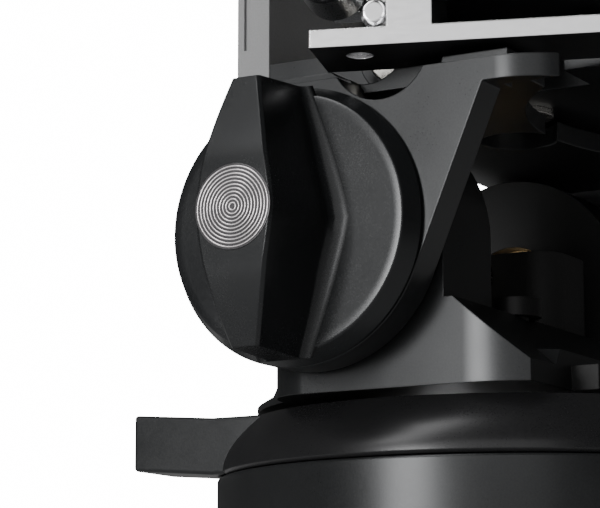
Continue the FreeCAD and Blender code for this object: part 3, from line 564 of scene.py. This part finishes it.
@dataclass
class DragKnob:
    """Tilt drag knob: coned disc, tall lozenge grip with hollowed flanks, and turned badge.

    Args:
        body: Body that it rides on.
        crest_half: Half length of the crest of the grip.
        crest_wide: Half width of the crest at its middle.
        crest_end: Half width of the crest at its ends.
        root_wide: Half width at the root, at the middle.
        root_end: Half width at the root, at the ends.
    """

    body: str = "drag_knob"
    crest_half: float = 13.4 * MM
    crest_wide: float = 4.45 * MM
    crest_end: float = 1.6 * MM
    root_wide: float = 7.9 * MM
    root_end: float = 3.2 * MM
    crest_bow: float = 1.4
    root_bow: float = 1.25
    crest_arch: float = 2.2 * MM
    flat_share: float = 0.34
    disc_facets: int = 180
    badge_facets: int = 128
    rim_break: float = 0.16 * MM
    rim_band: float = 1.0 * MM
    grip_break: float = 0.22 * MM
    badge_break: float = 0.06 * MM
    end_flare: float = 0.55 * MM
    arch_bow: float = 1.3
    grip_sunk: float = 0.03 * MM
    badge_set: float = 0.04 * MM
    badge_margin: float = 0.8
    wire: float = 0.06 * MM
    wire_flat: float = 0.35
    hollow_width: float = 2.45 * MM
    hollow_share: float = 0.85
    hollow_turn: float = math.radians(78.0)
    toe_turn: float = math.radians(25.0)
    hollow_steps: int = 13
    crest_break: float = 0.3 * MM
    toe_radius: float = 4.0 * MM
    heel_radius: float = 1.3 * MM
    badge_proud: float = 0.12 * MM
    disc_thickness: float = 2.15 * MM
    face_share: float = 0.9232
    badge_rings: int = 11
    rows: list[float] = field(default_factory=lambda: [
        -1.0, -0.85, -0.7, -0.55, -0.4, -0.26, -0.13, 0.0, 0.13, 0.26, 0.4, 0.55, 0.7, 0.85, 1.0])

    def build(self) -> None:
        """Make the disc, the grip and the badge."""
        low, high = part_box("tilt_knob")
        centre = Vector(((low[0] + high[0]) / 2, (low[1] + high[1]) / 2, (low[2] + high[2]) / 2))
        radius = (high[2] - low[2]) / 2
        back = high[0]
        face = back - self.disc_thickness
        crest = low[0] + self.badge_proud
        self._disc(centre, radius, back, face)
        self._grip(centre, face, crest)
        self._badge(centre, crest)

    def _disc(self, centre: Vector, radius: float, back: float, face: float) -> None:
        """Turn the coned disc from a cylinder.

        Args:
            centre: Middle of the knob.
            radius: Radius of the rear rim.
            back: Place of the rear face along X.
            face: Place of the front face along X.
        """
        Shop.clear()
        bpy.ops.mesh.primitive_cylinder_add(
            vertices=self.disc_facets, radius=radius, depth=back - face,
            location=((back + face) / 2, centre.y, centre.z), rotation=(0.0, math.pi / 2, 0.0))
        piece = bpy.context.object
        piece.name = "knob_disc"
        Shop.settle(piece)
        bpy.ops.object.mode_set(mode="EDIT")
        bpy.ops.mesh.select_mode(type="VERT")
        Shop.select(piece, lambda at: at.x < face + PICK_MARGIN)
        bpy.ops.transform.resize(value=(1.0, self.face_share, self.face_share),
                                 center_override=(face, centre.y, centre.z))
        bpy.ops.mesh.select_mode(type="FACE")
        mesh = bmesh.from_edit_mesh(piece.data)
        for item in mesh.faces:
            item.select = item.normal.x < -UPRIGHT
        bmesh.update_edit_mesh(piece.data)
        bpy.ops.mesh.inset(thickness=self.rim_band)
        bpy.ops.object.mode_set(mode="OBJECT")
        Shop.modify(piece, "BEVEL", width=self.rim_break, segments=3, limit_method="ANGLE",
                    angle_limit=math.radians(25.0))
        Shop.smooth(piece, 35.0)
        Shop.dress(piece, KNOB_BLACK)
        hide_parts("tilt_knob")
        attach(piece, self.body)

    def _crest_place(self, share: float, crest: float) -> float:
        """Place of the crest along X: flat under the badge, then arched down to the ends.

        Args:
            share: Place along the grip, -1 to 1.
            crest: Place of the flat middle along X.

        Returns:
            Place along X, in metres.
        """
        beyond = max(0.0, abs(share) - self.flat_share) / (1.0 - self.flat_share)
        return crest + self.crest_arch * beyond ** self.arch_bow

    def _section(self, share: float, crest: float, face: float) -> list[tuple[float, float]]:
        """Half outline of the grip across one row, from the crest's middle out to the disc.

        Args:
            share: Place along the grip, -1 to 1.
            crest: Place of the crest along X.
            face: Place of the disc's face along X.

        Returns:
            Pairs of sideways distance and X place.
        """
        top = self.crest_wide + (self.crest_end - self.crest_wide) * abs(share) ** self.crest_bow
        root = self.root_wide + (self.root_end - self.root_wide) * abs(share) ** self.root_bow
        scale = min(1.0, self.hollow_share * (root - top) / self.hollow_width)
        side, place = root, face + self.grip_sunk
        hollow = [(side, place)]
        step = self.hollow_turn / self.hollow_steps
        for number in range(self.hollow_steps):
            angle = (number + 0.5) * step
            radius = (self.toe_radius if angle < self.toe_turn else self.heel_radius) * scale
            side -= math.cos(angle) * radius * step
            place -= math.sin(angle) * radius * step
            hollow.append((side, place))
        broken = self.crest_break
        outline = [(0.0, crest), (top - broken, crest), (top, crest + broken)]
        return outline + hollow[::-1]

    def _grip(self, centre: Vector, face: float, crest: float) -> None:
        """Loft the grip row by row between two end walls.

        Args:
            centre: Middle of the knob.
            face: Place of the disc's face along X.
            crest: Place of the crest along X.
        """
        Shop.clear()
        bpy.ops.mesh.primitive_plane_add(size=MM, location=(0.0, 0.0, 0.0))
        piece = bpy.context.object
        piece.name = "knob_grip"
        bpy.ops.object.mode_set(mode="EDIT")
        bpy.ops.mesh.select_all(action="SELECT")
        bpy.ops.mesh.delete(type="VERT")
        mesh = bmesh.from_edit_mesh(piece.data)
        rows = []
        for share in self.rows:
            here = self._crest_place(share, crest)
            half = self._section(share, here, face)
            whole = [(-side, place) for side, place in reversed(half[1:])] + half
            row = []
            for side, place in whole:
                spread = (place - crest) / (face - crest)
                along = share * (self.crest_half + self.end_flare * spread)
                row.append(mesh.verts.new((place, centre.y + side, centre.z + along)))
            rows.append(row)
        for below, above in zip(rows, rows[1:]):
            for index in range(len(below) - 1):
                mesh.faces.new((below[index], below[index + 1], above[index + 1], above[index]))
            mesh.faces.new((below[-1], below[0], above[0], above[-1]))
        mesh.faces.new(rows[0])
        mesh.faces.new(list(reversed(rows[-1])))
        bmesh.update_edit_mesh(piece.data)
        bpy.ops.object.mode_set(mode="OBJECT")
        Shop.outward(piece)
        Shop.modify(piece, "BEVEL", width=self.grip_break, segments=3, limit_method="ANGLE",
                    angle_limit=math.radians(30.0))
        Shop.smooth(piece, 40.0)
        Shop.dress(piece, KNOB_BLACK)
        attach(piece, self.body)
        LOG.info("knob grip: %d faces", len(piece.data.polygons))

    def _badge(self, centre: Vector, crest: float) -> None:
        """Turn the badge: a dark disc with plain raised rings.

        Args:
            centre: Middle of the knob.
            crest: Place of the crest along X.
        """
        low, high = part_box("knob_emblem")
        radius = (high[2] - low[2]) / 2
        floor = crest - self.badge_proud + self.badge_set
        Shop.clear()
        bpy.ops.mesh.primitive_circle_add(
            vertices=self.badge_facets, radius=radius, fill_type="NGON",
            location=(high[0], centre.y, centre.z), rotation=(0.0, -math.pi / 2, 0.0))
        piece = bpy.context.object
        piece.name = "badge_disc"
        Shop.settle(piece)
        bpy.ops.object.mode_set(mode="EDIT")
        bpy.ops.mesh.select_all(action="SELECT")
        bpy.ops.mesh.extrude_region_move(
            TRANSFORM_OT_translate={"value": (floor - high[0], 0.0, 0.0)})
        bpy.ops.object.mode_set(mode="OBJECT")
        Shop.outward(piece)
        Shop.modify(piece, "BEVEL", width=self.badge_break, segments=2, limit_method="ANGLE",
                    angle_limit=math.radians(40.0))
        Shop.smooth(piece)
        Shop.dress(piece, DISC_DARK)
        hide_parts("knob_emblem")
        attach(piece, self.body)
        pitch = radius / (self.badge_rings + self.badge_margin)
        for number in range(1, self.badge_rings + 1):
            self._ring(centre, floor, pitch * number)
        LOG.info("badge rings: %d", self.badge_rings)

    def _ring(self, centre: Vector, floor: float, radius: float) -> None:
        """Turn one raised ring of the badge.

        Args:
            centre: Middle of the knob.
            floor: Face of the disc along X.
            radius: Middle radius of the ring.
        """
        Shop.clear()
        bpy.ops.mesh.primitive_torus_add(
            major_segments=96, minor_segments=8, major_radius=radius, minor_radius=self.wire,
            location=(floor, centre.y, centre.z), rotation=(0.0, math.pi / 2, 0.0))
        piece = bpy.context.object
        piece.name = "badge_ring_%02d" % round(radius / MM * 10)
        Shop.settle(piece)
        bpy.ops.object.mode_set(mode="EDIT")
        bpy.ops.mesh.select_all(action="SELECT")
        bpy.ops.transform.resize(value=(self.wire_flat, 1.0, 1.0), center_override=(floor, 0.0, 0.0))
        bpy.ops.object.mode_set(mode="OBJECT")
        Shop.smooth(piece, 60.0)
        Shop.dress(piece, DISC_LIGHT)
        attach(piece, self.body)


@dataclass
class HeadParts:
    """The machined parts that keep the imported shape, with bevels, and the dressing of the rest."""

    milled: list[Machined] = field(default_factory=lambda: [
        Machined("base_housing", "base", ANODISED, 0.35 * MM),
        Machined("base_cover", "base", ANODISED, 0.2 * MM),
        # The pedestal's faces in the gap between the towers take painted shade.
        Machined("pedestal", "azimuth", ANODISED, 0.35 * MM, second=GAP_PAINTED_SHADE,
                 second_on=takes_painted_gap_shade),
        Machined("drag_cartridge", "azimuth", LINING_AND_GAP_SHADE, 0.2 * MM),
        Machined("cradle", "altitude", ANODISED, 0.25 * MM),
        Machined("pivot_cap", "altitude", ANODISED, 0.3 * MM),
        Machined("swivel_housing", "altitude", ANODISED, 0.3 * MM),
        # The handle bracket takes painted light.
        Machined("handle_bracket", "altitude", BRACKET_PAINTED_LIGHT, 0.4 * MM),
        # The steel parts in the gap take painted shade.
        Machined("pan_nut", "azimuth", GAP_STEEL_PAINTED_SHADE, 0.1 * MM),
        Machined("pan_spring_washer", "azimuth", GAP_STEEL_PAINTED_SHADE, 0.05 * MM),
        Machined("pan_spindle", "azimuth", GAP_STEEL_PAINTED_SHADE, 0.1 * MM),
        Machined("drum_screws", "azimuth", GAP_STEEL_PAINTED_SHADE, 0.05 * MM),
        Machined("pinch_screw", "altitude", STEEL, 0.15 * MM),
        # The clamp frame's downward faces take painted shade.
        Machined("clamp_frame", "clamp", SILVER, 0.35 * MM, second=UNDERSIDE_PAINTED_SHADE),
        Machined("seat_pads", "clamp", RUBBER, 0.2 * MM),
        Machined("moving_jaw", "jaw", SILVER, 0.35 * MM),
        Machined("clamp_knob", "jaw_screw", GLOSSY, 0.3 * MM),
        Machined("release_button", "button", SILVER, 0.2 * MM)])

    def build(self) -> None:
        """Mill the visible parts, then dress every CAD node that stays."""
        for part in self.milled:
            part.build()
        slots = {row["node"]: row["material_slot"] for row in frame["record"]["subparts"]}
        made: dict[str, bpy.types.Material] = {}
        for name, node in frame["nodes"].items():
            slot_name = slots.get(name, Slot.BLACK.value)
            if slot_name not in made:
                made[slot_name] = NODE_FINISH[slot_name].material()
            node.data.materials.clear()
            node.data.materials.append(made[slot_name])
        LOG.info("dressed %d packed nodes", len(frame["nodes"]))


@dataclass(frozen=True)
class Softbox:
    """One softbox that faces the object.

    Args:
        name: Name of the light.
        azimuth: Direction in the floor plane, degrees from +X.
        elevation: Degrees above the floor.
        distance: How far off it hangs, in metres.
        wide: Width in metres.
        tall: Height in metres.
        power: Power in watts.
    """

    name: str
    azimuth: float
    elevation: float
    distance: float
    wide: float
    tall: float
    power: float

    def hang(self, aim: Vector) -> None:
        """Hang the softbox so that it faces a point.

        Args:
            aim: Point that it faces, in metres.
        """
        data = bpy.data.lights.new(self.name, "AREA")
        data.shape = "RECTANGLE"
        data.size = self.wide
        data.size_y = self.tall
        data.energy = self.power
        light = bpy.data.objects.new(self.name, data)
        bpy.context.scene.collection.objects.link(light)
        turn = math.radians(self.azimuth)
        lift = math.radians(self.elevation)
        away = Vector((math.cos(turn) * math.cos(lift), math.sin(turn) * math.cos(lift),
                       math.sin(lift)))
        light.location = aim + away * self.distance
        light.rotation_euler = away.to_track_quat("Z", "Y").to_euler()
        light.visible_camera = False


@dataclass
class Studio:
    """Pale floor, soft light and camera."""

    lights: tuple[Softbox, ...] = (
        Softbox("key_softbox", azimuth=168.0, elevation=6.5, distance=0.9, wide=0.24, tall=0.26,
                power=4.6),
        Softbox("front_wall", azimuth=198.0, elevation=14.0, distance=1.0, wide=0.9, tall=0.5,
                power=1.5),
        Softbox("high_softbox", azimuth=158.0, elevation=47.0, distance=0.9, wide=0.26, tall=0.75,
                power=4.2))
    aim: tuple[float, float, float] = (0.0, 0.0, 0.05)
    floor_size: float = 6.0
    floor_grey: float = 0.82
    floor_roughness: float = 0.9
    backdrop: float = 16.0
    fill: float = 0.05
    sensor: float = 36.0
    nearest: float = 0.01

    lens: float = 148.9
    place: tuple[float, float, float] = (-0.24846, -0.11740, 0.00192)
    yaw: float = 30.07
    pitch: float = 10.25

    def build(self) -> None:
        """Set out the studio."""
        self._floor()
        self._world()
        for softbox in self.lights:
            softbox.hang(Vector(self.aim))
        self._camera()

    def _floor(self) -> None:
        """Make the pale floor."""
        Shop.clear()
        bpy.ops.mesh.primitive_plane_add(size=self.floor_size, location=(0.0, 0.0, 0.0))
        floor = bpy.context.object
        floor.name = "studio_floor"
        pale = bpy.data.materials.new("studio_floor")
        pale.use_nodes = True
        shader = pale.node_tree.nodes["Principled BSDF"]
        shader.inputs["Base Color"].default_value = (*[self.floor_grey] * 3, 1.0)
        shader.inputs["Roughness"].default_value = self.floor_roughness
        floor.data.materials.append(pale)

    def _world(self) -> None:
        """Pale background, dimmer as a light than it looks."""
        world = bpy.data.worlds.new("studio")
        bpy.context.scene.world = world
        world.use_nodes = True
        tree = world.node_tree
        seen = tree.nodes["Background"]
        seen.inputs["Color"].default_value = (1.0, 1.0, 1.0, 1.0)
        seen.inputs["Strength"].default_value = self.backdrop
        fill = tree.nodes.new("ShaderNodeBackground")
        fill.inputs["Color"].default_value = (1.0, 1.0, 1.0, 1.0)
        fill.inputs["Strength"].default_value = self.fill
        path = tree.nodes.new("ShaderNodeLightPath")
        mix = tree.nodes.new("ShaderNodeMixShader")
        tree.links.new(path.outputs["Is Camera Ray"], mix.inputs["Fac"])
        tree.links.new(fill.outputs["Background"], mix.inputs[1])
        tree.links.new(seen.outputs["Background"], mix.inputs[2])
        tree.links.new(mix.outputs["Shader"], tree.nodes["World Output"].inputs["Surface"])

    def _camera(self) -> None:
        """Set the camera low at the left, looking up."""
        data = bpy.data.cameras.new("camera")
        data.lens = self.lens
        data.sensor_width = self.sensor
        data.clip_start = self.nearest
        camera = bpy.data.objects.new("camera", data)
        bpy.context.scene.collection.objects.link(camera)
        camera.location = self.place
        yaw = math.radians(self.yaw)
        pitch = math.radians(self.pitch)
        ahead = Vector((math.cos(yaw) * math.cos(pitch), math.sin(yaw) * math.cos(pitch),
                        math.sin(pitch)))
        camera.rotation_euler = ahead.to_track_quat("-Z", "Y").to_euler()
        bpy.context.scene.camera = camera


def main() -> None:
    """Build the pieces in order, then the studio."""
    logging.basicConfig(level=logging.INFO, format="%(message)s")
    HeadParts().build()
    LockRing().build()
    DragKnob().build()
    Studio().build()


if __name__ == "__main__":
    main()
